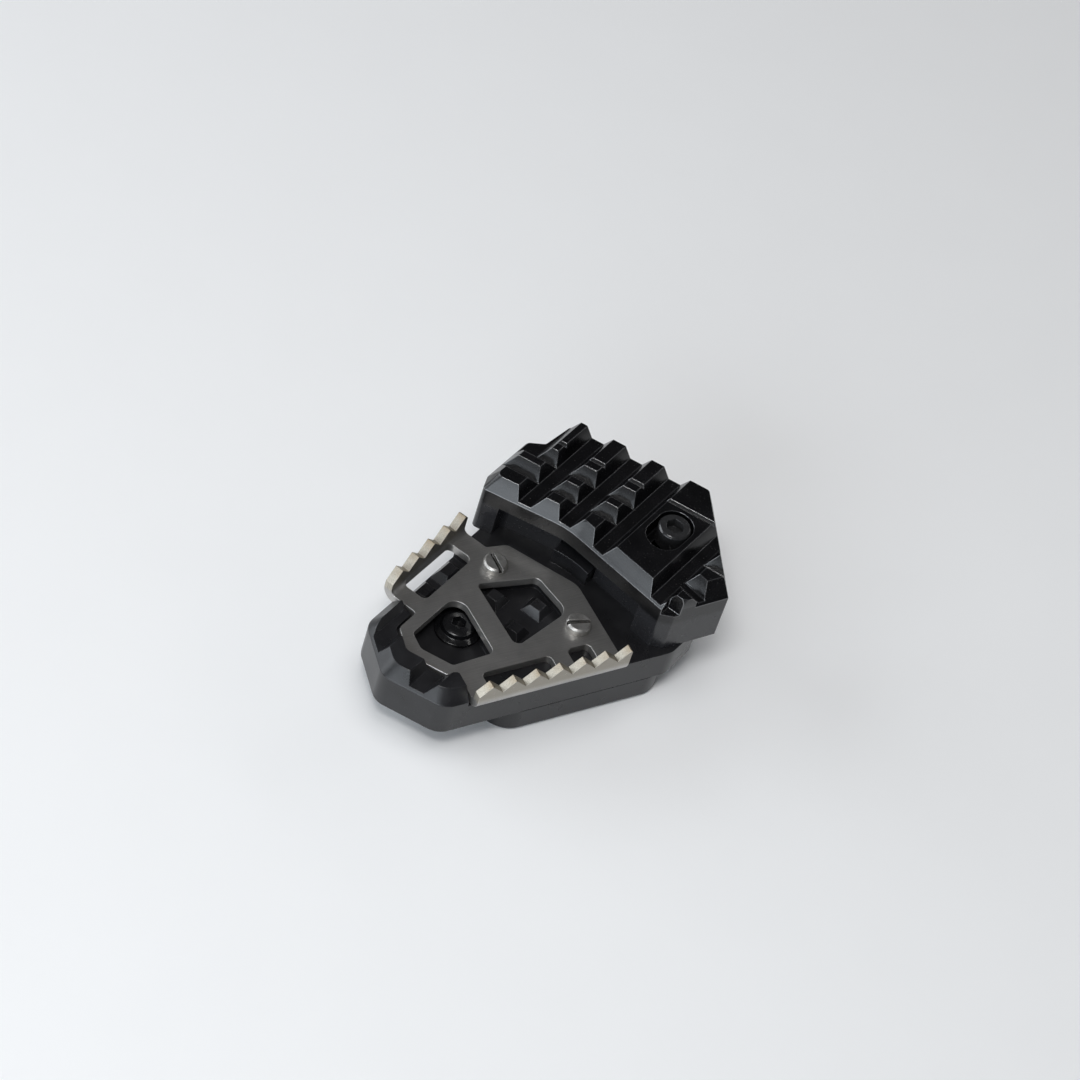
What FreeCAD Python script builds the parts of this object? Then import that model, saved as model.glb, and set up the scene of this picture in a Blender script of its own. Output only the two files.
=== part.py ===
"""Brake pedal extension: a milled carrier on a clamp plate, with a serrated tread plate and a raised pad.

Frame: millimetres, +Z up. The origin lies on the underside of the clamp plate, midway between the two tread
plate screws. +Y runs from the outer nose to the inner end, along the left edge and the pad's slide.
"""
import FreeCAD, Part
import math
import os

V = FreeCAD.Vector

# Heights
CLAMP_THICKNESS = 8.5
BASE_THICKNESS = 10.0
SHEET_THICKNESS = 2.8
PAD_WALL_HEIGHT = 16.5
PAD_TOOTH_HEIGHT = 4.8

# Shared plan layout
LEFT_EDGE_X = -28.5
SIDE_ANGLE = 26.3
SIDE_DISTANCE = 28.9
ROW_ANGLE = 9.8
SEAT_GAP = 0.8
THREAD_GAP = 0.15

# Base carrier
NOSE_FRONT = -56.0
NOSE_FRONT_ANGLE = 11.3
NOSE_LEFT_CUT = 11.6
NOSE_POINT_X = -13.5
NOSE_LEFT_RADIUS = 6.0
NOSE_FRONT_RADIUS = 7.0
BASE_RIGHT_X = 40.0
BASE_RIGHT_END_Y = 29.0
BASE_BACK_X = 24.0
BASE_BACK_Y = 51.0
BASE_CORNER_RADIUS = 5.0
BASE_SIDE_RADIUS = 8.0
RIM_WALL = 1.5
RIM_HEIGHT = 5.4
RIM_SLOPE_RUN = 3.4
RIM_NOTCH_X = (-21.6, -3.2)
RIM_NOTCH_FLOOR = 4.6
RIM_NOTCH_RISE = 2.1
LEDGE_HEIGHT = 1.4
LEDGE_WIDTH = 3.6
KEY_WIDTH = 12.8
KEY_HEIGHT = 5.5
KEY_FRONT_Y = 16.4
KEY_LENGTH = 19.0
KEY_BOW = 0.7
POCKET_MARGIN = 1.2
NOSE_POCKET_DEPTH = 4.0
STUD_POCKET_DEPTH = 3.0
STUD_DROP = 0.5
STUD_BASE = 7.0
STUD_TOP_SHARE = 0.5
MIDDLE_STUDS = [(-10.0, -5.8), (1.2, 0.8), (1.6, -11.0)]
EDGE_STUD_LENGTH = 9.2
EDGE_STUD_WIDTH = 6.2
EDGE_STUDS = 2

# Pedal socket, milled into the underside of the base
SOCKET_WIDTH = 24.0
SOCKET_HEIGHT = 6.0
SOCKET_DEPTH = 36.0
SOCKET_MIDDLE_Y = 18.5
SOCKET_CORNER_RADIUS = 3.0

# Clamp plate
CLAMP_LEFT_X = -22.0
CLAMP_FRONT_Y = -31.7
CLAMP_RIGHT_Y = 14.5
CLAMP_BACK_X = 24.0
CLAMP_BACK_Y = 41.0
CLAMP_CORNER_RADIUS = 6.0
CLAMP_SIDE_RADIUS = 9.0
CLAMP_EDGE_BREAK = 0.8

# Tread plate
BEND_RADIUS = 1.6
FLANGE_HEIGHT = 7.4
TOOTH_PITCH = 7.55
TOOTH_DEPTH = 3.6
LEFT_FLANGE_START = -31.2
LEFT_TEETH = 5
LEFT_WING_BACK = 4.2
LEFT_WING_X = -21.8
RIGHT_FLANGE_START = -35.2
RIGHT_TEETH = 7
RIGHT_WING_BACK = 14.3
RING_LEFT = (-20.7, -39.1)
RING_DIAGONAL_ANGLE = -38.4
RING_RIGHT = (0.1, -42.6)
WING_ROOT_ANGLE = 45.0
INNER_EDGE_Y = 12.2
INNER_EDGE_ANGLE = 7.9
LOBE_ANGLE = 55.6
PLATE_CORNER_RADII = [0, 1.0, 2.5, 3.0, 2.0, 1.0, 0, 0, 7.0, 3.0, 1.0, 0]
NOSE_WINDOW = [(-16.7, -37.7), (-11.5, -40.6), (-1.3, -38.6), (4.2, -25.9), (-16.7, -15.8)]
NOSE_WINDOW_RADII = [1.5, 2.5, 1.6, 2.0, 4.0]
MIDDLE_WINDOW = [(-15.1, -9.2), (7.4, -19.5), (9.9, 2.6), (-3.9, 6.3)]
MIDDLE_WINDOW_RADII = [1.2, 2.2, 4.0, 2.2]
LEFT_SLOT_Y = (-25.4, -2.7)
RIGHT_SLOTS = [(-28.5, -6.0, 21.0), (-0.3, 7.2, 20.4)]
SLOT_RADIUS = 1.8

# Raised pad
PAD_LEFT_X = -33.0
PAD_FRONT_ANGLE_LEFT = 13.6
PAD_FRONT_ANGLE_RIGHT = -6.6
PAD_FRONT_APEX = (-4.35, 16.4)
PAD_FRONT_RADIUS = 25.0
PAD_FRONT_LEFT_X = -31.1
PAD_FRONT_RIGHT_X = 33.5
PAD_CORNER_CUT = (3.5, 2.3)
PAD_LEFT_CUT = 4.9
PAD_RIGHT_ANGLE = 25.0
PAD_RIGHT_END_Y = 30.8
PAD_BACK_RIGHT_X = 20.0
PAD_BACK_RIGHT_Y = 57.6
PAD_BACK_LEFT_X = -27.8
PAD_JOG = (4.2, 3.7)
PAD_JOG_Y = 34.3
PAD_SLOPE_RUN = 3.1
PAD_SIDE_SLOPE_RUN = 2.0
PAD_BACK_SLOPE_RUN = 0.3
PAD_CORNER_SLOPE_RUN = 1.5
PAD_CORNER_RADIUS = 1.5
RECESS_LEFT_X = -24.9
RECESS_RIGHT_X = 26.0
RECESS_DEPTH = 5.0
RECESS_HEIGHT = 11.5
RECESS_CORNER_RADIUS = 2.0
KEYWAY_GAP = 0.3
SLIDE_TRAVEL = 5.7

# Teeth of the raised pad
GROOVE_DEPTH = 4.0
GROOVE_FLOOR = 3.9
GROOVE_SIDE_RUN = 2.4
GROOVE_FIRST_X = -18.4
GROOVE_PITCH = 12.85
PLATFORM_WIDTH = 23.2
ROW_Y = (26.9, 36.0)
ROW_RISER = 0.45
ROW_FRONT_RUN = 2.9
ROW_BACK_RUN = 3.6
REAR_LINE_Y = 42.5
REAR_LINE_DEPTH = 1.0
END_ROW_Y = (24.5, 35.6)
END_ROW_ANGLES = (-8.0, 7.0)
END_ROW_FLOORS = (2.2, 0.4)
END_SLOPE_RUN = 4.5
END_SLOPE_Y = 20.4
LEFT_STEP = (-27.2, 28.5)
CORNER_NOTCH_Y = 16.0
CORNER_NOTCH_DEPTH = 6.6

# Screws
PLATE_SCREW_SPACING = 31.0
PLATE_SCREW_HEAD = 7.5
PLATE_SCREW_HEAD_HEIGHT = 2.5
PLATE_SCREW_THREAD = 4.0
PLATE_SCREW_LENGTH = 10.0
PLATE_SCREW_SLOT = 1.2
PLATE_SCREW_SLOT_DEPTH = 1.2
PLATE_SCREW_EDGE = 0.6
PLATE_SCREW_TURNS = (-28.0, 50.0)
NOSE_BOLT_AT = (-11.0, -21.9)
NOSE_BOLT_FLANGE = 13.8
NOSE_BOLT_FLANGE_HEIGHT = 1.5
NOSE_BOLT_FLANGE_EDGE = 0.9
NOSE_BOLT_CROWN = 10.6
NOSE_BOLT_CROWN_RUNS = (0.5, 1.3)
NOSE_BOLT_CROWN_DROP = 0.6
NOSE_BOLT_HEAD_HEIGHT = 3.4
NOSE_BOLT_KEY = 4.0
NOSE_BOLT_KEY_DEPTH = 2.2
NOSE_BOLT_LENGTH = 12.0
PAD_SCREW_AT = (18.9, 37.7)
PAD_SCREW_HEAD = 10.0
PAD_SCREW_HEAD_HEIGHT = 6.0
PAD_SCREW_KEY = 5.0
PAD_SCREW_LENGTH = 24.0
PAD_SCREW_SINK = 0.3
M6 = 6.0
CLAMP_SCREW_BACK_INSET = 6.0
CLAMP_SCREW_RIGHT_INSETS = (15.4, 0.5)
CLAMP_SCREW_HEAD = 8.5
CLAMP_SCREW_HEAD_HEIGHT = 5.0
CLAMP_SCREW_KEY = 4.0
CLAMP_SCREW_THREAD = 5.0
CLAMP_SCREW_LENGTH = 10.0
CLAMP_SCREW_SINK = 0.5
CAP_EDGE_SHARE = 0.1
CAP_KEY_SHARE = 0.5
POINT_SHARE = 0.3
HEAD_GAP = 0.6
SHANK_GAP = 0.3
HOLE_END_GAP = 1.0

# Levels that follow from the heights
BASE_Z = CLAMP_THICKNESS
FLOOR_Z = BASE_Z + BASE_THICKNESS
PLATE_TOP_Z = FLOOR_Z + SHEET_THICKNESS
PAD_EDGE_Z = FLOOR_Z + PAD_WALL_HEIGHT
PAD_TOP_Z = PAD_EDGE_Z + PAD_TOOTH_HEIGHT
LEFT_FLANGE_X = LEFT_EDGE_X - BEND_RADIUS
FAR = 200.0

SIDE = math.radians(SIDE_ANGLE)
SIDE_NORMAL = V(math.cos(SIDE), -math.sin(SIDE), 0)
SIDE_ALONG = V(math.sin(SIDE), math.cos(SIDE), 0)


def side_point(along, distance):
    """Plan point at a distance out from the origin towards the slanted right side, and along that side."""
    point = SIDE_ALONG * along + SIDE_NORMAL * distance
    return point.x, point.y


def side_x(y, distance):
    """X of the slanted line at that distance, where it crosses y."""
    return (distance + y * math.sin(SIDE)) / math.cos(SIDE)


def meet(p, angle_p, q, angle_q):
    """Plan point where two lines cross, each given by a point and its angle from X in degrees."""
    ax, ay = math.cos(math.radians(angle_p)), math.sin(math.radians(angle_p))
    bx, by = math.cos(math.radians(angle_q)), math.sin(math.radians(angle_q))
    step = ((q[0] - p[0]) * by - (q[1] - p[1]) * bx) / (ax * by - ay * bx)
    return p[0] + step * ax, p[1] + step * ay


def inset(points, distances):
    """Moves each edge of a counter-clockwise outline inwards by its own distance."""
    count = len(points)
    lines = []
    for i in range(count):
        (x0, y0), (x1, y1) = points[i], points[(i + 1) % count]
        length = math.hypot(x1 - x0, y1 - y0)
        shift = distances[i] / length
        angle = math.degrees(math.atan2(y1 - y0, x1 - x0))
        lines.append(((x0 - (y1 - y0) * shift, y0 + (x1 - x0) * shift), angle))
    return [meet(*lines[i - 1], *lines[i]) for i in range(count)]


def rounded_wire(points, radii, z):
    """Closed wire at height z through the points, with each corner rounded by its radius."""
    count = len(points)
    starts, ends, middles = [], [], []
    for i in range(count):
        here = V(*points[i], z)
        to_last = (V(*points[i - 1], z) - here).normalize()
        to_next = (V(*points[(i + 1) % count], z) - here).normalize()
        half = to_last.getAngle(to_next) / 2
        tangent = radii[i] / math.tan(half)
        bisector = (to_last + to_next).normalize()
        starts.append(here + to_last * tangent)
        ends.append(here + to_next * tangent)
        middles.append(here + bisector * (radii[i] / math.sin(half) - radii[i]))
    edges = []
    for i in range(count):
        if radii[i] > 0:
            edges.append(Part.Arc(starts[i], middles[i], ends[i]).toShape())
        edges.append(Part.makeLine(ends[i], starts[(i + 1) % count]))
    return Part.Wire(edges)


def prism(points, radii, z0, z1):
    return Part.Face(rounded_wire(points, radii, z0)).extrude(V(0, 0, z1 - z0))


def tapered(points, radii, insets, z0, z1):
    """Prism whose edges lean in by their insets at the top."""
    lower = rounded_wire(points, radii, z0)
    upper = rounded_wire(inset(points, insets), radii, z1)
    return Part.makeLoft([lower, upper], True, True)


def section(points, origin, across, along, length):
    """Solid with a section drawn in (across, up) coordinates at origin, pulled along a plan direction."""
    corners = [origin + across * a + V(0, 0, b) for a, b in points]
    return Part.Face(Part.makePolygon(corners + corners[:1])).extrude(along * length)


def turned(angle):
    """Plan direction at an angle from X in degrees."""
    return V(math.cos(math.radians(angle)), math.sin(math.radians(angle)), 0)


def box(x0, x1, y0, y1, z0, z1):
    return Part.makeBox(x1 - x0, y1 - y0, z1 - z0, V(x0, y0, z0))


def cylinder(at, radius, z0, z1):
    return Part.makeCylinder(radius, z1 - z0, V(at[0], at[1], z0))


def slot_cut(at, radius, length, z0, z1):
    """Obround cut that runs from the point towards -Y."""
    middle = box(at[0] - radius, at[0] + radius, at[1] - length, at[1], z0, z1)
    return middle.fuse([cylinder(at, radius, z0, z1), cylinder((at[0], at[1] - length), radius, z0, z1)])


def hexagon(across_flats, z0, z1):
    corner = across_flats / math.sqrt(3)
    ring = [turned(60 * k) * corner + V(0, 0, z0) for k in range(6)]
    return Part.Face(Part.makePolygon(ring + ring[:1])).extrude(V(0, 0, z1 - z0))


def solid_of(shape):
    """The one solid that a chain of cuts and joins leaves, with its split faces merged."""
    return shape.removeSplitter().Solids[0]


# Outline of the base, counter-clockwise from the left end of the nose
def base_outline():
    nose_left = (LEFT_EDGE_X, NOSE_FRONT + NOSE_LEFT_CUT)
    nose_point = (NOSE_POINT_X, NOSE_FRONT)
    nose_right = meet(nose_point, NOSE_FRONT_ANGLE, side_point(0, SIDE_DISTANCE), 90 - SIDE_ANGLE)
    right = meet((BASE_RIGHT_X, 0), 90, side_point(0, SIDE_DISTANCE), 90 - SIDE_ANGLE)
    right_end = (BASE_RIGHT_X, BASE_RIGHT_END_Y)
    back_right = (BASE_BACK_X, BASE_BACK_Y)
    back_left = meet((LEFT_EDGE_X, 0), 90, back_right, ROW_ANGLE)
    points = [nose_left, nose_point, nose_right, right, right_end, back_right, back_left]
    corner = BASE_CORNER_RADIUS
    radii = [NOSE_LEFT_RADIUS, NOSE_LEFT_RADIUS, NOSE_FRONT_RADIUS, BASE_SIDE_RADIUS, corner, corner, corner]
    return points, radii


# Flat outline of the tread plate up to its two bends, counter-clockwise from the left wing
def plate_outline():
    right_bend = SIDE_DISTANCE - BEND_RADIUS
    ring_point = meet(RING_LEFT, RING_DIAGONAL_ANGLE, RING_RIGHT, NOSE_FRONT_ANGLE)
    wing_root = meet(RING_RIGHT, WING_ROOT_ANGLE, side_point(RIGHT_FLANGE_START, 0), -SIDE_ANGLE)
    wing_front = side_point(RIGHT_FLANGE_START, right_bend)
    wing_back = side_point(RIGHT_WING_BACK, right_bend)
    inner_edge = (0, INNER_EDGE_Y)
    left_wing = (LEFT_WING_X, LEFT_WING_BACK)
    inner_right = meet(wing_back, -SIDE_ANGLE, inner_edge, INNER_EDGE_ANGLE)
    lobe = meet(inner_edge, INNER_EDGE_ANGLE, left_wing, LOBE_ANGLE)
    points = [
        (LEFT_EDGE_X, LEFT_FLANGE_START), (RING_LEFT[0], LEFT_FLANGE_START), RING_LEFT, ring_point,
        RING_RIGHT, wing_root, wing_front, wing_back,
        inner_right, lobe, left_wing, (LEFT_EDGE_X, LEFT_WING_BACK),
    ]
    return points, PLATE_CORNER_RADII


def frustum(x, y, width, length):
    """Flat-topped stud on the floor of a pocket, just short of the tread plate."""
    def ring(share, z):
        w, d = width * share / 2, length * share / 2
        corners = [V(x - w, y - d, z), V(x + w, y - d, z), V(x + w, y + d, z), V(x - w, y + d, z)]
        return Part.makePolygon(corners + corners[:1])
    foot = ring(1.0, FLOOR_Z - STUD_POCKET_DEPTH)
    top = ring(STUD_TOP_SHARE, FLOOR_Z - STUD_DROP)
    return Part.makeLoft([foot, top], True, True)


def nose_rim(points, radii):
    """Upstanding rim round the nose: wall, outer slope and two notches, clear of the tread plate."""
    wall_top = FLOOR_Z + RIM_WALL
    top = FLOOR_Z + RIM_HEIGHT
    wall = prism(points, radii, FLOOR_Z, wall_top)
    slope = tapered(points, radii, [RIM_SLOPE_RUN] * len(points), wall_top, top)
    front = section(
        [(-FAR, 0), (LEFT_FLANGE_START - SEAT_GAP, 0), (LEFT_FLANGE_START - SEAT_GAP, FAR), (-FAR, FAR)],
        V(-FAR, 0, FLOOR_Z), V(0, 1, 0), V(1, 0, 0), 2 * FAR,
    )
    beside_wing = section(
        [(-FAR, 0), (RIGHT_FLANGE_START - SEAT_GAP, 0), (RIGHT_FLANGE_START - SEAT_GAP, FAR), (-FAR, FAR)],
        SIDE_NORMAL * -FAR + V(0, 0, FLOOR_Z), SIDE_ALONG, SIDE_NORMAL, 2 * FAR,
    )
    outline, corners = plate_outline()
    seat = prism(inset(outline, [-SEAT_GAP] * len(outline)), corners, FLOOR_Z, top)
    rim = wall.fuse(slope).common(front).common(beside_wing).cut(seat)
    half = RIM_NOTCH_FLOOR / 2
    floor = wall_top + SEAT_GAP
    for x in RIM_NOTCH_X:
        profile = [(-half, floor), (half, floor), (half + RIM_NOTCH_RISE, top), (-half - RIM_NOTCH_RISE, top)]
        rim = rim.cut(section(profile, V(x, -FAR, 0), V(1, 0, 0), V(0, 1, 0), 2 * FAR))
    return rim


def ledge():
    """Low step of the base that follows the inner edge of the tread plate."""
    outline, corners = plate_outline()
    inner, lobe = outline[8], outline[9]
    clear = prism(inset(outline, [-SEAT_GAP] * len(outline)), corners, FLOOR_Z, FLOOR_Z + LEDGE_HEIGHT)
    along = V(inner[0] - lobe[0], inner[1] - lobe[1], 0)
    out = V(-along.y, along.x, 0).normalize()
    start = V(lobe[0], lobe[1], FLOOR_Z) - out * BEND_RADIUS
    profile = [(0, 0), (LEDGE_WIDTH, 0), (LEDGE_WIDTH, LEDGE_HEIGHT), (0, LEDGE_HEIGHT)]
    return section(profile, start, out, along, 1.0).cut(clear)


def guide_key():
    """Key that guides the raised pad, with a bowed front."""
    half = KEY_WIDTH / 2
    back = KEY_FRONT_Y + KEY_LENGTH
    corners = [V(half, KEY_FRONT_Y, FLOOR_Z), V(half, back, FLOOR_Z), V(-half, back, FLOOR_Z)]
    left = V(-half, KEY_FRONT_Y, FLOOR_Z)
    bow = V(0, KEY_FRONT_Y + KEY_BOW, FLOOR_Z)
    edges = [Part.makeLine(*pair) for pair in zip(corners, corners[1:] + [left])]
    edges.append(Part.Arc(left, bow, corners[0]).toShape())
    return Part.Face(Part.Wire(edges)).extrude(V(0, 0, KEY_HEIGHT))


def pedal_socket():
    """Blind channel for the pedal's tongue, open at the left edge and closed below by the clamp plate."""
    y0 = SOCKET_MIDDLE_Y - SOCKET_WIDTH / 2
    y1 = SOCKET_MIDDLE_Y + SOCKET_WIDTH / 2
    end = LEFT_EDGE_X + SOCKET_DEPTH
    points = [(LEFT_EDGE_X - FAR, y0), (end, y0), (end, y1), (LEFT_EDGE_X - FAR, y1)]
    radius = SOCKET_CORNER_RADIUS
    return prism(points, [0, radius, radius, 0], BASE_Z, BASE_Z + SOCKET_HEIGHT)


def floor_pockets():
    """Pockets below the windows of the tread plate, a little wider than the windows."""
    stud_floor = FLOOR_Z - STUD_POCKET_DEPTH
    nose_floor = FLOOR_Z - NOSE_POCKET_DEPTH
    middle = prism(widened(MIDDLE_WINDOW), MIDDLE_WINDOW_RADII, stud_floor, FLOOR_Z)
    nose = prism(widened(NOSE_WINDOW), NOSE_WINDOW_RADII, nose_floor, FLOOR_Z)
    bolt_seat = cylinder(NOSE_BOLT_AT, NOSE_BOLT_FLANGE / 2 + HEAD_GAP, nose_floor, FLOOR_Z)
    y0, y1 = LEFT_SLOT_Y
    right = LEFT_WING_X + POCKET_MARGIN
    left = box(LEFT_EDGE_X, right, y0 - POCKET_MARGIN, y1 + POCKET_MARGIN, stud_floor, FLOOR_Z)
    return [middle, nose, bolt_seat, left]


def widened(window):
    return inset(window, [-POCKET_MARGIN] * len(window))


def base_carrier():
    points, radii = base_outline()
    base = prism(points, radii, BASE_Z, FLOOR_Z).cut(floor_pockets())
    base = base.fuse([nose_rim(points, radii), ledge(), guide_key()])
    studs = [frustum(x, y, STUD_BASE, STUD_BASE) for x, y in MIDDLE_STUDS]
    edge_x = LEFT_EDGE_X + EDGE_STUD_WIDTH / 2
    slot_start, slot_end = LEFT_SLOT_Y
    step = (slot_end - slot_start) / EDGE_STUDS
    for k in range(EDGE_STUDS):
        studs.append(frustum(edge_x, slot_start + (k + 0.5) * step, EDGE_STUD_WIDTH, EDGE_STUD_LENGTH))
    base = base.fuse(studs).cut(pedal_socket())
    screw_end = PLATE_TOP_Z - PLATE_SCREW_LENGTH - HOLE_END_GAP
    screw_radius = PLATE_SCREW_THREAD / 2 + THREAD_GAP
    holes = [cylinder(at, screw_radius, screw_end, PLATE_TOP_Z) for at in plate_screw_places()]
    holes.append(cylinder(NOSE_BOLT_AT, M6 / 2 + SHANK_GAP, BASE_Z, FLOOR_Z - NOSE_POCKET_DEPTH))
    holes.append(cylinder(PAD_SCREW_AT, M6 / 2 + THREAD_GAP, BASE_Z, FLOOR_Z))
    reach = CLAMP_SCREW_HEAD_HEIGHT + CLAMP_SCREW_SINK + CLAMP_SCREW_LENGTH + HOLE_END_GAP
    for at in clamp_screw_places().values():
        holes.append(cylinder(at, CLAMP_SCREW_THREAD / 2 + THREAD_GAP, BASE_Z, reach))
    return solid_of(base.cut(holes))


def clamp_plate():
    front_right = (side_x(CLAMP_FRONT_Y, SIDE_DISTANCE), CLAMP_FRONT_Y)
    right = (side_x(CLAMP_RIGHT_Y, SIDE_DISTANCE), CLAMP_RIGHT_Y)
    points = [
        (CLAMP_LEFT_X, CLAMP_FRONT_Y), front_right, right,
        (CLAMP_BACK_X, CLAMP_BACK_Y), (CLAMP_LEFT_X, CLAMP_BACK_Y),
    ]
    corner, side = CLAMP_CORNER_RADIUS, CLAMP_SIDE_RADIUS
    radii = [corner, side, side, corner, corner]
    broken = CLAMP_EDGE_BREAK
    lower = inset(points, [broken] * len(points))
    foot = Part.makeLoft([rounded_wire(lower, radii, 0), rounded_wire(points, radii, broken)], True, True)
    plate = foot.fuse(prism(points, radii, broken, CLAMP_THICKNESS))
    holes = [cylinder(NOSE_BOLT_AT, M6 / 2 + THREAD_GAP, 0, CLAMP_THICKNESS)]
    for at in clamp_screw_places().values():
        seat = CLAMP_SCREW_HEAD_HEIGHT + CLAMP_SCREW_SINK
        holes.append(cylinder(at, CLAMP_SCREW_HEAD / 2 + HEAD_GAP / 2, 0, seat))
        holes.append(cylinder(at, CLAMP_SCREW_THREAD / 2 + SHANK_GAP, 0, CLAMP_THICKNESS))
    return solid_of(plate.cut(holes))


def flange(start, across, along, length, teeth):
    """Bent-up edge of the sheet: a quarter bend, an upright wall and a row of saw teeth on top."""
    inner = BEND_RADIUS
    outer = BEND_RADIUS + SHEET_THICKNESS
    top = SHEET_THICKNESS + FLANGE_HEIGHT
    arm = math.sqrt(0.5)

    def at(a, b):
        return start + across * a + V(0, 0, b)

    centre = SHEET_THICKNESS + inner
    edges = [
        Part.makeLine(at(0, SHEET_THICKNESS), at(0, 0)),
        Part.Arc(at(0, 0), at(outer * arm, centre - outer * arm), at(outer, centre)).toShape(),
        Part.makeLine(at(outer, centre), at(outer, top)),
        Part.makeLine(at(outer, top), at(inner, top)),
        Part.makeLine(at(inner, top), at(inner, centre)),
        Part.Arc(at(inner, centre), at(inner * arm, centre - inner * arm), at(0, SHEET_THICKNESS)).toShape(),
    ]
    wall = Part.Face(Part.Wire(edges)).extrude(along * length)
    half = TOOTH_PITCH / 2
    notches = []
    for k in range(teeth + 1):
        root = k * TOOTH_PITCH
        profile = [(root - half, top), (root, top - TOOTH_DEPTH), (root + half, top)]
        notches.append(section(profile, start, along, across, 2 * outer))
    return wall.cut(notches)


def tread_plate():
    points, radii = plate_outline()
    plate = prism(points, radii, FLOOR_Z, PLATE_TOP_Z)
    left_length = LEFT_WING_BACK - LEFT_FLANGE_START
    left_start = V(LEFT_EDGE_X, LEFT_FLANGE_START, FLOOR_Z)
    left = flange(left_start, V(-1, 0, 0), V(0, 1, 0), left_length, LEFT_TEETH)
    right_x, right_y = side_point(RIGHT_FLANGE_START, SIDE_DISTANCE - BEND_RADIUS)
    right_length = RIGHT_WING_BACK - RIGHT_FLANGE_START
    right = flange(V(right_x, right_y, FLOOR_Z), SIDE_NORMAL, SIDE_ALONG, right_length, RIGHT_TEETH)
    plate = plate.fuse([left, right])
    low, high = FLOOR_Z, PLATE_TOP_Z + BEND_RADIUS
    cuts = [prism(NOSE_WINDOW, NOSE_WINDOW_RADII, low, high)]
    cuts.append(prism(MIDDLE_WINDOW, MIDDLE_WINDOW_RADII, low, high))
    y0, y1 = LEFT_SLOT_Y
    corners = [(LEFT_FLANGE_X, y0), (LEFT_WING_X, y0), (LEFT_WING_X, y1), (LEFT_FLANGE_X, y1)]
    cuts.append(prism(corners, [SLOT_RADIUS] * 4, low, high))
    for start, end, inner in RIGHT_SLOTS:
        ends = [(start, inner), (start, SIDE_DISTANCE), (end, SIDE_DISTANCE), (end, inner)]
        cuts.append(prism([side_point(*p) for p in ends], [SLOT_RADIUS] * 4, low, high))
    for at in plate_screw_places():
        cuts.append(cylinder(at, PLATE_SCREW_THREAD / 2 + SHANK_GAP, low, high))
    return solid_of(plate.cut(cuts))


# Outline of the raised pad, counter-clockwise from its front left corner
def pad_outline():
    apex = PAD_FRONT_APEX
    front_left = meet((PAD_FRONT_LEFT_X, 0), 90, apex, PAD_FRONT_ANGLE_LEFT)
    front_right = meet((PAD_FRONT_RIGHT_X, 0), 90, apex, PAD_FRONT_ANGLE_RIGHT)
    right_front = (front_right[0] + PAD_CORNER_CUT[0], front_right[1] + PAD_CORNER_CUT[1])
    right_end = meet(right_front, 90 - PAD_RIGHT_ANGLE, (0, PAD_RIGHT_END_Y), 0)
    back_right = (PAD_BACK_RIGHT_X, PAD_BACK_RIGHT_Y)
    back_left = meet((PAD_BACK_LEFT_X, 0), 90, back_right, ROW_ANGLE)
    jog = (PAD_LEFT_X + PAD_JOG[0], PAD_JOG_Y + PAD_JOG[1])
    left_back = (PAD_LEFT_X, PAD_JOG_Y)
    left_front = (PAD_LEFT_X, front_left[1] + PAD_LEFT_CUT)
    front = [front_left, apex, front_right, right_front]
    return front + [right_end, back_right, back_left, jog, left_back, left_front]


def pad_grooves():
    """Lengthwise grooves that divide the deck into columns, and the middle of each one."""
    middles = [GROOVE_FIRST_X + GROOVE_PITCH * k for k in range(3)]
    middles.append(middles[-1] + PLATFORM_WIDTH)
    half = GROOVE_FLOOR / 2
    floor = PAD_TOP_Z - GROOVE_DEPTH
    wide = half + GROOVE_SIDE_RUN
    profile = [(-half, floor), (half, floor), (wide, PAD_TOP_Z), (-wide, PAD_TOP_Z)]
    cuts = [section(profile, V(x, -FAR, 0), V(1, 0, 0), V(0, 1, 0), 2 * FAR) for x in middles]
    return cuts, middles


def row_cut(y_at_middle, angle, depth, floor, x0, x1):
    """Groove across the deck whose far side is the sloping front face of the next row of teeth."""
    along = turned(angle)
    share = depth / GROOVE_DEPTH
    bottom = PAD_TOP_Z - depth
    riser = ROW_RISER * share
    profile = [
        (-floor - ROW_BACK_RUN * share, PAD_TOP_Z), (-floor, bottom), (0, bottom), (0, bottom + riser),
        (ROW_FRONT_RUN * share, PAD_TOP_Z),
    ]
    slope = math.tan(math.radians(angle))
    start = V(x0, y_at_middle + slope * x0, 0)
    return section(profile, start, V(0, 1, 0), along, (x1 - x0) / along.x)


def left_step():
    """Step that lowers the left edge of the deck behind its second row of teeth."""
    x, y = LEFT_STEP
    floor = PAD_TOP_Z - GROOVE_DEPTH
    profile = [(-FAR, floor), (0, floor), (GROOVE_SIDE_RUN, PAD_TOP_Z), (-FAR, PAD_TOP_Z)]
    return section(profile, V(x, y, 0), V(1, 0, 0), V(0, 1, 0), FAR)


def end_slope(start, end):
    """Slope along the top of the right wall, behind the corner tooth."""
    along = V(end[0] - start[0], end[1] - start[1], 0).normalize()
    begin = V(*start, 0) + along * ((END_SLOPE_Y - start[1]) / along.y)
    inward = V(-along.y, along.x, 0)
    run = END_SLOPE_RUN
    profile = [(0, PAD_EDGE_Z), (run, PAD_TOP_Z), (-run, PAD_TOP_Z), (-run, PAD_EDGE_Z)]
    return section(profile, begin, inward, along, FAR)


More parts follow.
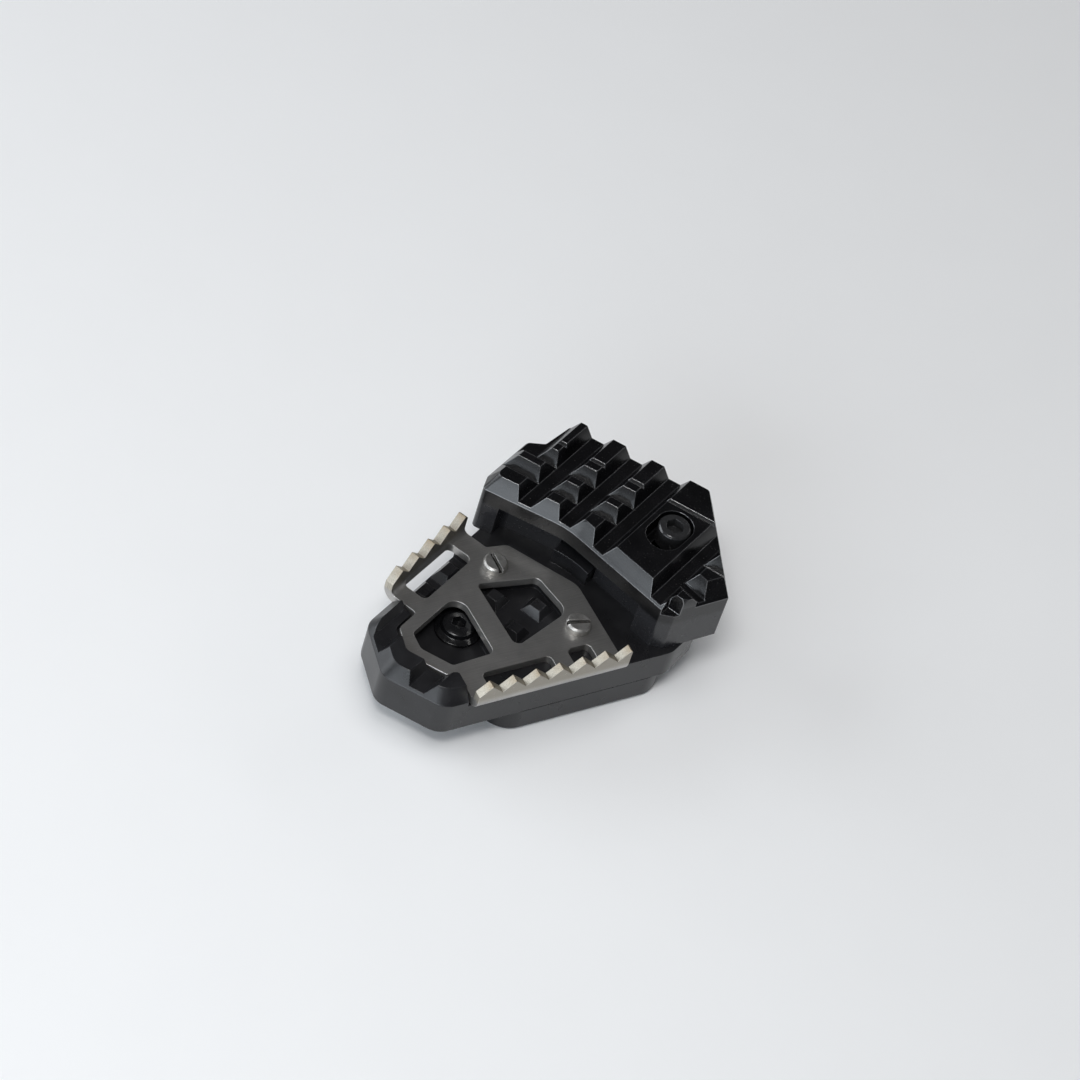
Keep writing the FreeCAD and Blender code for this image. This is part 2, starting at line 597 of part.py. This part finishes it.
def front_recess():
    """Pocket under the front edge of the pad, with a back wall that follows that edge."""
    apex = (PAD_FRONT_APEX[0], PAD_FRONT_APEX[1] + RECESS_DEPTH)
    left = meet((RECESS_LEFT_X, 0), 90, apex, PAD_FRONT_ANGLE_LEFT)
    right = meet((RECESS_RIGHT_X, 0), 90, apex, PAD_FRONT_ANGLE_RIGHT)
    points = [(RECESS_LEFT_X, 0), (RECESS_RIGHT_X, 0), right, apex, left]
    radii = [0, 0, RECESS_CORNER_RADIUS, PAD_FRONT_RADIUS, RECESS_CORNER_RADIUS]
    return prism(points, radii, FLOOR_Z, FLOOR_Z + RECESS_HEIGHT)


def raised_pad():
    points = pad_outline()
    radii = [PAD_CORNER_RADIUS] * len(points)
    radii[1] = PAD_FRONT_RADIUS
    radii[4] = 0
    run, side = PAD_SLOPE_RUN, PAD_SIDE_SLOPE_RUN
    runs = [run, run, PAD_CORNER_SLOPE_RUN, 0.0, side, PAD_BACK_SLOPE_RUN, side, side, run, run]
    pad = prism(points, radii, FLOOR_Z, PAD_EDGE_Z).fuse(tapered(points, radii, runs, PAD_EDGE_Z, PAD_TOP_Z))
    grooves, middles = pad_grooves()
    cuts = list(grooves)
    for y in ROW_Y:
        cuts.append(row_cut(y, ROW_ANGLE, GROOVE_DEPTH, 0.0, PAD_LEFT_X - GROOVE_PITCH, middles[2]))
    cuts.append(row_cut(REAR_LINE_Y, ROW_ANGLE, REAR_LINE_DEPTH, 0.0, PAD_LEFT_X - GROOVE_PITCH, middles[3]))
    end_x = middles[3] + GROOVE_PITCH * 2
    for y, angle, floor in zip(END_ROW_Y, END_ROW_ANGLES, END_ROW_FLOORS):
        level = y - math.tan(math.radians(angle)) * (middles[3] + GROOVE_PITCH / 2)
        cuts.append(row_cut(level, angle, GROOVE_DEPTH, floor, middles[3], end_x))
    cuts += [left_step(), end_slope(points[3], points[4]), front_recess()]
    cuts.append(box(PAD_FRONT_RIGHT_X, FAR, -FAR, CORNER_NOTCH_Y, PAD_TOP_Z - CORNER_NOTCH_DEPTH, PAD_TOP_Z))
    key_half = KEY_WIDTH / 2 + KEYWAY_GAP
    key_end = KEY_FRONT_Y + KEY_LENGTH + KEYWAY_GAP
    cuts.append(box(-key_half, key_half, 0, key_end, FLOOR_Z, FLOOR_Z + RECESS_HEIGHT))
    seat = PAD_TOP_Z - PAD_SCREW_HEAD_HEIGHT - PAD_SCREW_SINK
    cuts.append(slot_cut(PAD_SCREW_AT, PAD_SCREW_HEAD / 2 + HEAD_GAP, SLIDE_TRAVEL, seat, PAD_TOP_Z))
    cuts.append(slot_cut(PAD_SCREW_AT, M6 / 2 + SHANK_GAP, SLIDE_TRAVEL, FLOOR_Z, seat))
    return solid_of(pad.cut(cuts))


def plate_screw_places():
    return [(-PLATE_SCREW_SPACING / 2, 0.0), (PLATE_SCREW_SPACING / 2, 0.0)]


def clamp_screw_places():
    inset_x, inset_y = CLAMP_SCREW_RIGHT_INSETS
    right_x = side_x(CLAMP_RIGHT_Y, SIDE_DISTANCE) - inset_x
    return {
        "clamp_screw_back": (0.0, CLAMP_BACK_Y - CLAMP_SCREW_BACK_INSET),
        "clamp_screw_right": (right_x, CLAMP_RIGHT_Y - inset_y),
    }


def revolved(profile):
    """Turned solid from (radius, height) points, closed along the axis."""
    corners = [V(r, 0, z) for r, z in profile]
    return Part.Face(Part.makePolygon(corners + corners[:1])).revolve(V(0, 0, 0), V(0, 0, 1), 360)


def shank(diameter, length):
    """Threaded shank below a head, with a pointed end break."""
    radius = diameter / 2
    tip = radius * POINT_SHARE
    return [(0, -length), (radius - tip, -length), (radius, -length + tip), (radius, 0)]


def slotted_screw(turn):
    """Cheese head screw with a slot across its top."""
    radius = PLATE_SCREW_HEAD / 2
    height = PLATE_SCREW_HEAD_HEIGHT
    edge = PLATE_SCREW_EDGE
    profile = shank(PLATE_SCREW_THREAD, PLATE_SCREW_LENGTH)
    profile += [(radius, 0), (radius, height - edge), (radius - edge, height), (0, height)]
    side = PLATE_SCREW_SLOT / 2
    groove = box(-radius, radius, -side, side, height - PLATE_SCREW_SLOT_DEPTH, height)
    groove.rotate(V(0, 0, 0), V(0, 0, 1), turn)
    return revolved(profile).cut(groove)


def socket_screw(head, height, key, thread, length):
    """Cap screw with a hexagon socket."""
    edge = height * CAP_EDGE_SHARE
    profile = shank(thread, length)
    profile += [(head / 2, 0), (head / 2, height - edge), (head / 2 - edge, height), (0, height)]
    return revolved(profile).cut(hexagon(key, height * (1 - CAP_KEY_SHARE), height))


def flanged_bolt():
    """Low crowned bolt with a washer flange and a hexagon socket."""
    flange_radius, crown = NOSE_BOLT_FLANGE / 2, NOSE_BOLT_CROWN / 2
    skirt, height = NOSE_BOLT_FLANGE_HEIGHT, NOSE_BOLT_HEAD_HEIGHT
    steep, shallow = NOSE_BOLT_CROWN_RUNS
    shoulder = height - NOSE_BOLT_CROWN_DROP
    profile = shank(M6, NOSE_BOLT_LENGTH)
    profile += [(flange_radius, 0), (flange_radius, NOSE_BOLT_FLANGE_EDGE), (crown, skirt)]
    profile += [(crown - steep, shoulder), (crown - steep - shallow, height), (0, height)]
    return revolved(profile).cut(hexagon(NOSE_BOLT_KEY, height - NOSE_BOLT_KEY_DEPTH, height))


def placed(shape, at, z):
    shape.translate(V(at[0], at[1], z))
    return shape.Solids[0]


def all_parts():
    parts = {
        "base_carrier": base_carrier(),
        "clamp_plate": clamp_plate(),
        "tread_plate": tread_plate(),
        "raised_pad": raised_pad(),
        "nose_bolt": placed(flanged_bolt(), NOSE_BOLT_AT, FLOOR_Z - NOSE_POCKET_DEPTH),
    }
    names = ("plate_screw_left", "plate_screw_right")
    for name, at, turn in zip(names, plate_screw_places(), PLATE_SCREW_TURNS):
        parts[name] = placed(slotted_screw(turn), at, PLATE_TOP_Z)
    pad_screw = socket_screw(PAD_SCREW_HEAD, PAD_SCREW_HEAD_HEIGHT, PAD_SCREW_KEY, M6, PAD_SCREW_LENGTH)
    parts["pad_screw"] = placed(pad_screw, PAD_SCREW_AT, PAD_TOP_Z - PAD_SCREW_HEAD_HEIGHT - PAD_SCREW_SINK)
    for name, at in clamp_screw_places().items():
        screw = socket_screw(
            CLAMP_SCREW_HEAD, CLAMP_SCREW_HEAD_HEIGHT, CLAMP_SCREW_KEY,
            CLAMP_SCREW_THREAD, CLAMP_SCREW_LENGTH,
        )
        screw.rotate(V(0, 0, 0), V(1, 0, 0), 180)
        parts[name] = placed(screw, at, CLAMP_SCREW_HEAD_HEIGHT + CLAMP_SCREW_SINK)
    return parts


os.makedirs("parts", exist_ok=True)
for name, shape in all_parts().items():
    shape.exportStep(os.path.join("parts", name + ".step"))
    print(name, "valid" if shape.isValid() else "INVALID", round(shape.Volume, 1))
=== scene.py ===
"""Looks of the brake pedal extension: camera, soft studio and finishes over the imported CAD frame."""
import math

import bpy
from mathutils import Matrix, Vector


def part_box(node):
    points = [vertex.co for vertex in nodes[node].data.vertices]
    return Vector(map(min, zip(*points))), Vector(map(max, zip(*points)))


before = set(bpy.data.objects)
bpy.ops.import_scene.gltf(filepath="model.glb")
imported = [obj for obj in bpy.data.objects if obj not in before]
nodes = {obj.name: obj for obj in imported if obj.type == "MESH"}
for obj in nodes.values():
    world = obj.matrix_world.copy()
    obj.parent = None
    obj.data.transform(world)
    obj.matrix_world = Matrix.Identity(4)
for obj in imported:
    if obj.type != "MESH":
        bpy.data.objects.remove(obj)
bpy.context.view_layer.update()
scene = bpy.context.scene
MM = 0.001
UP = (0, 0, 1)

# Camera, worked out from the photograph
PHOTO_SIZE = 1080
FOCAL_PIXELS = 3795
SENSOR_WIDTH = 36.0
AZIMUTH = math.radians(23)
ELEVATION = math.radians(47)
ROLL = math.radians(18.5)
DISTANCE = 1100 * MM
CLIP_START = 10 * MM
ANCHOR = Vector((-6.5, -9.2, 21.5)) * MM
ANCHOR_PIXEL = (500, 600)

# Studio, in metres
FLOOR_RADIUS = 2.5
BEND_RADIUS = 0.5
BEND_STEPS = 12
FLOOR_TURNS = 96
WALL_HEIGHT = 0.8
LIGHT_DISTANCE = 1.2
WORLD_COLOUR = (0.05, 0.05, 0.0525)

# Edge breaks, in millimetres, and the angle from which an edge is broken
MILLED_BREAK = 0.16
CLAMP_BREAK = 0.3
SHEET_BREAK = 0.2
BRIGHT_SCREW_BREAK = 0.1
BLACK_SCREW_BREAK = 0.12
EDGE_ANGLE = math.radians(28)
BREAK_SEGMENTS = 2
WELD_REACH = 0.002 * MM
FLAT_ANGLE = math.radians(0.4)

# Tread plate: angle of its slanted side, and the levels where its flanges start and their tips turn brown
SIDE_ANGLE = math.radians(26.3)
LEFT_FLANGE_X = -25 * MM
FLANGE_FOOT = 22 * MM
CUT_LEVELS = (FLANGE_FOOT, 23 * MM)
WALL_LEVELS = (FLANGE_FOOT, 24 * MM)
BURNT_LEVELS = (26.4 * MM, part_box("tread_plate")[1].z)

# Slotted screws: height of the head, depth of its slot and of the painted shade in it
HEAD_HEIGHT = 2.5 * MM
SLOT_DEPTH = 1.2 * MM
SLOT_SHADE_DEPTH = 0.6 * MM

# Raised pad: levels of its teeth, how far their faces bulge, and the recess below them, painted lighter as
# painted light
TOOTH_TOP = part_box("raised_pad")[1].z
TOOTH_LEVELS = (TOOTH_TOP - 4.0 * MM, TOOTH_TOP)
CROWN_RISE = 0.08 * MM
RECESS_LEVELS = (29.0 * MM, 30.5 * MM)
RECESS_PAINTED_LIGHT = (0.02, 0.02, 0.022)


def photo_camera():
    """Camera at the photograph's angle, placed so that ANCHOR falls on its pixel."""
    across = Vector((math.cos(AZIMUTH), math.sin(AZIMUTH), 0))
    ahead = Vector((-math.sin(AZIMUTH), math.cos(AZIMUTH), 0))
    top = Vector(UP)
    view = ahead * math.cos(ELEVATION) - top * math.sin(ELEVATION)
    rise = ahead * math.sin(ELEVATION) + top * math.cos(ELEVATION)
    right = across * math.cos(ROLL) + rise * math.sin(ROLL)
    down = across * math.sin(ROLL) - rise * math.cos(ROLL)
    pixel = DISTANCE / FOCAL_PIXELS
    shift_x, shift_y = [(p - PHOTO_SIZE / 2) * pixel for p in ANCHOR_PIXEL]
    eye = ANCHOR - view * DISTANCE - right * shift_x - down * shift_y
    data = bpy.data.cameras.new("camera")
    data.sensor_width = SENSOR_WIDTH
    data.lens = FOCAL_PIXELS / PHOTO_SIZE * SENSOR_WIDTH
    data.clip_start = CLIP_START
    camera = bpy.data.objects.new("camera", data)
    turn = Matrix((right, -down, -view)).transposed().to_4x4()
    camera.matrix_world = Matrix.Translation(eye) @ turn
    scene.collection.objects.link(camera)
    scene.camera = camera


class Finish:
    """Node material whose patterns are laid out in metres on the part."""

    def __init__(self, name, metallic, roughness=0.5):
        self.material = bpy.data.materials.new(name)
        self.material.use_nodes = True
        self.tree = self.material.node_tree
        self.shader = self.tree.nodes["Principled BSDF"]
        self.shader.inputs["Metallic"].default_value = metallic
        self.shader.inputs["Roughness"].default_value = roughness
        self.place = self.add("ShaderNodeTexCoord").outputs["Object"]
        self.normal = self.add("ShaderNodeNewGeometry").outputs["Normal"]

    def add(self, kind, inputs=(), **settings):
        """New node with its settings, and inputs that are values or other nodes' outputs."""
        node = self.tree.nodes.new(kind)
        for key, value in settings.items():
            setattr(node, key, value)
        for key, value in dict(inputs).items():
            if isinstance(value, bpy.types.NodeSocket):
                self.tree.links.new(value, node.inputs[key])
            else:
                node.inputs[key].default_value = value
        return node

    def feed(self, **inputs):
        """Links outputs to the shader's inputs."""
        for key, value in inputs.items():
            self.tree.links.new(value, self.shader.inputs[key.replace("_", " ")])

    def laid(self, size, turn=0.0, centre=(0, 0, 0)):
        """Coordinates turned about Z and counted in steps of size, which may differ along X, Y and Z."""
        moved = self.add("ShaderNodeVectorMath", {0: self.place, 1: centre}, operation="SUBTRACT").outputs[0]
        sizes = size if isinstance(size, tuple) else (size, size, size)
        scale = tuple(1 / s for s in sizes)
        spun = self.add("ShaderNodeMapping", {"Vector": moved, "Rotation": (0, 0, turn)}).outputs[0]
        return self.add("ShaderNodeMapping", {"Vector": spun, "Scale": scale}).outputs[0]

    def noise(self, size, detail=2.0, turn=0.0):
        """Noise with patches about size across."""
        inputs = {"Vector": self.laid(size, turn), "Scale": 1.0, "Detail": detail}
        return self.add("ShaderNodeTexNoise", inputs).outputs["Fac"]

    def spread(self, value, low, high, to_low=0.0, to_high=1.0):
        """Maps low to high onto another range, and holds it there."""
        inputs = {"Value": value, "From Min": low, "From Max": high, "To Min": to_low, "To Max": to_high}
        return self.add("ShaderNodeMapRange", inputs).outputs["Result"]

    def math(self, operation, first, second=0.0):
        return self.add("ShaderNodeMath", {0: first, 1: second}, operation=operation).outputs[0]

    def product(self, first, second):
        return self.math("MULTIPLY", first, second)

    def mix(self, share, first, second):
        """Colour between two, each an RGB triple or an output."""
        pair = [c if isinstance(c, bpy.types.NodeSocket) else (*c, 1) for c in (first, second)]
        node = self.add("ShaderNodeMix", data_type="RGBA")
        for key, value in (("Factor_Float", share), ("A_Color", pair[0]), ("B_Color", pair[1])):
            socket = next(s for s in node.inputs if s.identifier == key)
            if isinstance(value, bpy.types.NodeSocket):
                self.tree.links.new(value, socket)
            else:
                socket.default_value = value
        return next(s for s in node.outputs if s.identifier == "Result_Color")

    def bump(self, height, depth, under=None):
        """Surface relief of that depth, over an earlier one."""
        inputs = {"Height": height, "Distance": depth, "Strength": 1.0}
        if under is not None:
            inputs["Normal"] = under
        return self.add("ShaderNodeBump", inputs).outputs["Normal"]

    def part_of(self, vector, direction):
        """Component of a vector along a direction."""
        inputs = {0: vector, 1: direction}
        return self.add("ShaderNodeVectorMath", inputs, operation="DOT_PRODUCT").outputs["Value"]


def anodised(name, dark, light, smooth, rough, toothed=False, index=1.52):
    """Blasted, anodised aluminium with grain and dust; toothed adds crowned faces and paints the recess
    below the teeth lighter, as painted light.
    """
    dust_colour = (0.16, 0.15, 0.14)
    dust_share, dust_dulling = 0.35, 0.2
    finish = Finish(name, 0.0)
    finish.shader.inputs["IOR"].default_value = index
    cloud = finish.noise(7 * MM, 3.0)
    grain = finish.noise(0.16 * MM, 1.0)
    dust = finish.spread(finish.noise(0.5 * MM, 3.0), 0.68, 0.78)
    height = finish.part_of(finish.place, UP)
    colour = finish.mix(finish.spread(cloud, 0.35, 0.65), dark, light)
    relief = finish.bump(grain, 0.006 * MM)
    if toothed:
        # Painted light: below the teeth the colour turns to a lighter tone
        colour = finish.mix(finish.spread(height, *RECESS_LEVELS), RECESS_PAINTED_LIGHT, colour)
        level = finish.spread(height, *TOOTH_LEVELS, -1.0, 1.0)
        arch = finish.math("SUBTRACT", 1.0, finish.product(level, level))
        relief = finish.bump(arch, CROWN_RISE, relief)
    gloss = finish.spread(cloud, 0.3, 0.7, smooth, rough)
    finish.feed(
        Base_Color=finish.mix(finish.product(dust, dust_share), colour, dust_colour),
        Roughness=finish.math("ADD", gloss, finish.product(dust, dust_dulling)),
        Normal=relief,
    )
    return finish.material


def brushed_sheet():
    """Brushed stainless sheet with duller flanges, raw cut teeth with brown tips, and light specks."""
    sheet_dark, sheet_light = (0.47, 0.46, 0.445), (0.58, 0.565, 0.545)
    grain_colour, speck_colour = (0.28, 0.27, 0.255), (0.75, 0.72, 0.67)
    wall_colour, burnt_colour = (0.35, 0.325, 0.28), (0.3, 0.21, 0.11)
    cut_dark, cut_light = (0.4, 0.37, 0.31), (0.62, 0.58, 0.5)
    finish = Finish("brushed_stainless", 0.9)
    grain = finish.noise((0.12 * MM, 9 * MM, 0.12 * MM), 3.0, SIDE_ANGLE)
    cloud = finish.noise(6 * MM, 3.0)
    height = finish.part_of(finish.place, UP)
    sheet = finish.mix(finish.spread(cloud, 0.3, 0.7), sheet_dark, sheet_light)
    sheet = finish.mix(finish.spread(grain, 0.35, 0.7, 0.0, 0.35), sheet, grain_colour)
    sheet = finish.mix(finish.spread(height, *WALL_LEVELS), sheet, wall_colour)
    specks = finish.spread(finish.noise(0.55 * MM, 2.0), 0.69, 0.74, 0.0, 0.6)
    sheet = finish.mix(specks, sheet, speck_colour)

    left = finish.math("LESS_THAN", finish.part_of(finish.place, (1, 0, 0)), LEFT_FLANGE_X)
    facing_left = finish.math("ABSOLUTE", finish.part_of(finish.normal, (1, 0, 0)))
    side = (math.cos(SIDE_ANGLE), -math.sin(SIDE_ANGLE), 0)
    facing_right = finish.math("ABSOLUTE", finish.part_of(finish.normal, side))
    facing = finish.add("ShaderNodeMix", {0: left, 2: facing_right, 3: facing_left}).outputs[0]
    cut_face = finish.product(finish.spread(facing, 0.5, 0.3), finish.spread(height, *CUT_LEVELS))
    lines = finish.noise((0.22 * MM, 0.22 * MM, 5 * MM), 2.0)
    cut = finish.mix(finish.spread(lines, 0.3, 0.7), cut_dark, cut_light)
    burnt = finish.product(finish.spread(height, *BURNT_LEVELS), finish.spread(cloud, 0.3, 0.6, 0.15, 0.6))
    cut = finish.mix(burnt, cut, burnt_colour)
    shine = finish.spread(grain, 0.3, 0.7, 0.3, 0.46)
    finish.feed(
        Base_Color=finish.mix(cut_face, sheet, cut),
        Roughness=finish.math("ADD", shine, finish.product(cut_face, 0.1)),
        Normal=finish.bump(lines, 0.012 * MM, finish.bump(grain, 0.008 * MM)),
    )
    return finish.material


def turned_steel(name, head):
    """Bright turned steel with fine rings round the top point of the screw's head, and painted shade on its
    slot's floor.
    """
    dark, light = (0.5, 0.485, 0.46), (0.7, 0.68, 0.65)
    ring_colour, slot_shade_colour = (0.22, 0.21, 0.19), (0.03, 0.028, 0.025)
    ring_share = 0.4
    finish = Finish(name, 0.88)
    where = finish.laid(1.0 * MM, 0.0, (head.x, head.y, head.z - HEAD_HEIGHT))
    rings = finish.add(
        "ShaderNodeTexWave", {"Vector": where, "Scale": 2.4, "Distortion": 0.6, "Detail": 2.0},
        wave_type="RINGS", rings_direction="Z",
    ).outputs["Fac"]
    cloud = finish.noise(1.6 * MM, 3.0)
    colour = finish.mix(finish.spread(cloud, 0.3, 0.7), dark, light)
    ringed = finish.mix(finish.product(rings, ring_share), colour, ring_colour)
    slot_floor = head.z - SLOT_DEPTH
    # Painted shade: the upward-facing floor of the slot is painted near-black
    deep = finish.spread(finish.part_of(finish.place, UP), slot_floor + SLOT_SHADE_DEPTH, slot_floor)
    upward = finish.spread(finish.part_of(finish.normal, UP), 0.8, 0.9)
    finish.feed(
        Base_Color=finish.mix(finish.product(deep, upward), ringed, slot_shade_colour),
        Roughness=finish.spread(cloud, 0.3, 0.7, 0.3, 0.42),
        Normal=finish.bump(rings, 0.012 * MM),
    )
    return finish.material


def black_oxide(name, dark, light):
    """Blackened steel with a thin oily sheen."""
    finish = Finish(name, 0.0)
    finish.shader.inputs["IOR"].default_value = 1.7
    cloud = finish.noise(1.2 * MM, 3.0)
    grain = finish.noise(0.1 * MM)
    finish.feed(
        Base_Color=finish.mix(cloud, dark, light),
        Roughness=finish.spread(cloud, 0.3, 0.7, 0.14, 0.26),
        Normal=finish.bump(grain, 0.004 * MM),
    )
    return finish.material


def dress(name, face, edge, width):
    """Gives a CAD node its finish and breaks its sharp edges with a bevel, its width in millimetres."""
    node = nodes[name]
    node.data.materials.clear()
    node.data.materials.append(face)
    node.data.materials.append(edge)
    weld = node.modifiers.new("weld", "WELD")
    weld.merge_threshold = WELD_REACH
    flat = node.modifiers.new("flat", "DECIMATE")
    flat.decimate_type = "DISSOLVE"
    flat.angle_limit = FLAT_ANGLE
    bevel = node.modifiers.new("edge break", "BEVEL")
    bevel.width = width * MM
    bevel.segments = BREAK_SEGMENTS
    bevel.limit_method = "ANGLE"
    bevel.angle_limit = EDGE_ANGLE
    bevel.use_clamp_overlap = False
    bevel.loop_slide = False
    bevel.material = 1
    smooth = node.modifiers.new("smooth", "WEIGHTED_NORMAL")
    smooth.keep_sharp = False


def softbox(name, azimuth, elevation, size, radiance, colour=(1, 1, 1)):
    """Rectangular light aimed at the part; azimuth 0 is in front of the nose and 90 is to its right."""
    turn, rise = math.radians(azimuth), math.radians(elevation)
    back = Vector((math.sin(turn) * math.cos(rise), -math.cos(turn) * math.cos(rise), math.sin(rise)))
    data = bpy.data.lights.new(name, "AREA")
    data.shape = "RECTANGLE"
    data.size, data.size_y = size
    data.energy = radiance * math.pi * size[0] * size[1]
    data.color = colour
    light = bpy.data.objects.new(name, data)
    light.location = ANCHOR + back * LIGHT_DISTANCE
    light.rotation_mode = "QUATERNION"
    light.rotation_quaternion = (-back).to_track_quat("-Z", "Y")
    scene.collection.objects.link(light)
    return light


def floor_mesh():
    """Round floor that bends up into a low wall all round."""
    profile = [(FLOOR_RADIUS, 0.0)]
    for k in range(1, BEND_STEPS + 1):
        angle = math.pi / 2 * k / BEND_STEPS
        profile.append((FLOOR_RADIUS + BEND_RADIUS * math.sin(angle), BEND_RADIUS * (1 - math.cos(angle))))
    profile.append((FLOOR_RADIUS + BEND_RADIUS, WALL_HEIGHT))
    points, faces = [(0.0, 0.0, 0.0)], []
    for radius, height in profile:
        for t in range(FLOOR_TURNS):
            angle = 2 * math.pi * t / FLOOR_TURNS
            points.append((radius * math.cos(angle), radius * math.sin(angle), height))
    for t in range(FLOOR_TURNS):
        after = (t + 1) % FLOOR_TURNS
        faces.append((0, 1 + t, 1 + after))
        for ring in range(len(profile) - 1):
            low = 1 + ring * FLOOR_TURNS
            high = low + FLOOR_TURNS
            faces.append((low + t, high + t, high + after, low + after))
    mesh = bpy.data.meshes.new("floor")
    mesh.from_pydata(points, [], faces)
    mesh.shade_smooth()
    return mesh


def studio_floor():
    """Pale paper floor under the part."""
    mesh = floor_mesh()
    paper = Finish("pale_paper", 0.0, 0.8)
    tone = paper.noise(30 * MM, 3.0)
    paper.feed(Base_Color=paper.mix(tone, (0.93, 0.93, 0.93), (0.95, 0.95, 0.95)))
    mesh.materials.append(paper.material)
    floor = bpy.data.objects.new("floor", mesh)
    scene.collection.objects.link(floor)


def studio_light():
    """Dim world, two large soft boxes, a strip, a small box for glints and an unmirrored lamp above."""
    scene.world = bpy.data.worlds.new("studio")
    scene.world.use_nodes = True
    background = scene.world.node_tree.nodes["Background"]
    background.inputs["Color"].default_value = (*WORLD_COLOUR, 1)
    softbox("front", 0, 17, (1.2, 0.56), 4.2, (0.86, 0.93, 1.0))
    softbox("left", -70, 23, (1.1, 0.62), 2.8, (0.9, 0.95, 1.0))
    softbox("back strip", 165, 24, (1.2, 0.1), 3.0)
    softbox("glint", 8, 62, (0.36, 0.26), 14.0)
    overhead = softbox("overhead", 0, 90, (0.8, 0.8), 2.2)
    overhead.visible_glossy = False


def dress_all():
    """Finishes of the black milled pieces, the tread plate and the screws."""
    black = anodised("anodised_black", (0.010, 0.010, 0.011), (0.016, 0.016, 0.0175), 0.26, 0.34)
    # The edge breaks are painted a little lighter than the faces, as a painted highlight
    highlit_black_edge = anodised("anodised_highlit_edge", (0.013, 0.013, 0.0145), (0.022, 0.022, 0.024), 0.22, 0.3)
    dress("base_carrier", black, highlit_black_edge, MILLED_BREAK)
    dress("clamp_plate", black, highlit_black_edge, CLAMP_BREAK)

    # The pad's teeth are painted darker than the base's black, as painted shade on the pad's deck
    teeth_dark, teeth_light = (0.0018, 0.0018, 0.0022), (0.0038, 0.0038, 0.0045)
    teeth = anodised("anodised_teeth", teeth_dark, teeth_light, 0.22, 0.29, toothed=True)
    # The pad's edge breaks are painted far lighter than its teeth: partly edge wear, partly a painted
    # highlight along every edge, the hollow feet of the teeth too
    edge_wear_and_highlight_dark, edge_wear_and_highlight_light = (0.02, 0.02, 0.022), (0.035, 0.035, 0.037)
    worn_and_highlit_edge = anodised("anodised_worn_and_highlit_edge", edge_wear_and_highlight_dark, edge_wear_and_highlight_light, 0.17, 0.24, index=2.3)
    dress("raised_pad", teeth, worn_and_highlit_edge, MILLED_BREAK)

    steel = brushed_sheet()
    dress("tread_plate", steel, steel, SHEET_BREAK)

    for side in ("left", "right"):
        name = "plate_screw_" + side
        low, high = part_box(name)
        middle = (low + high) / 2
        bright = turned_steel("turned_steel_" + side, Vector((middle.x, middle.y, high.z)))
        dress(name, bright, bright, BRIGHT_SCREW_BREAK)

    oxide = black_oxide("black_oxide", (0.003, 0.003, 0.0035), (0.008, 0.008, 0.009))
    for name in ("nose_bolt", "clamp_screw_back", "clamp_screw_right"):
        dress(name, oxide, oxide, BLACK_SCREW_BREAK)
    # The pad screw gets a lighter copy of the black oxide, as painted light
    painted_light_oxide = black_oxide("painted_light_oxide", (0.014, 0.014, 0.015), (0.03, 0.03, 0.031))
    dress("pad_screw", painted_light_oxide, painted_light_oxide, BLACK_SCREW_BREAK)


scene.view_settings.view_transform = "Standard"
photo_camera()
studio_floor()
studio_light()
dress_all()
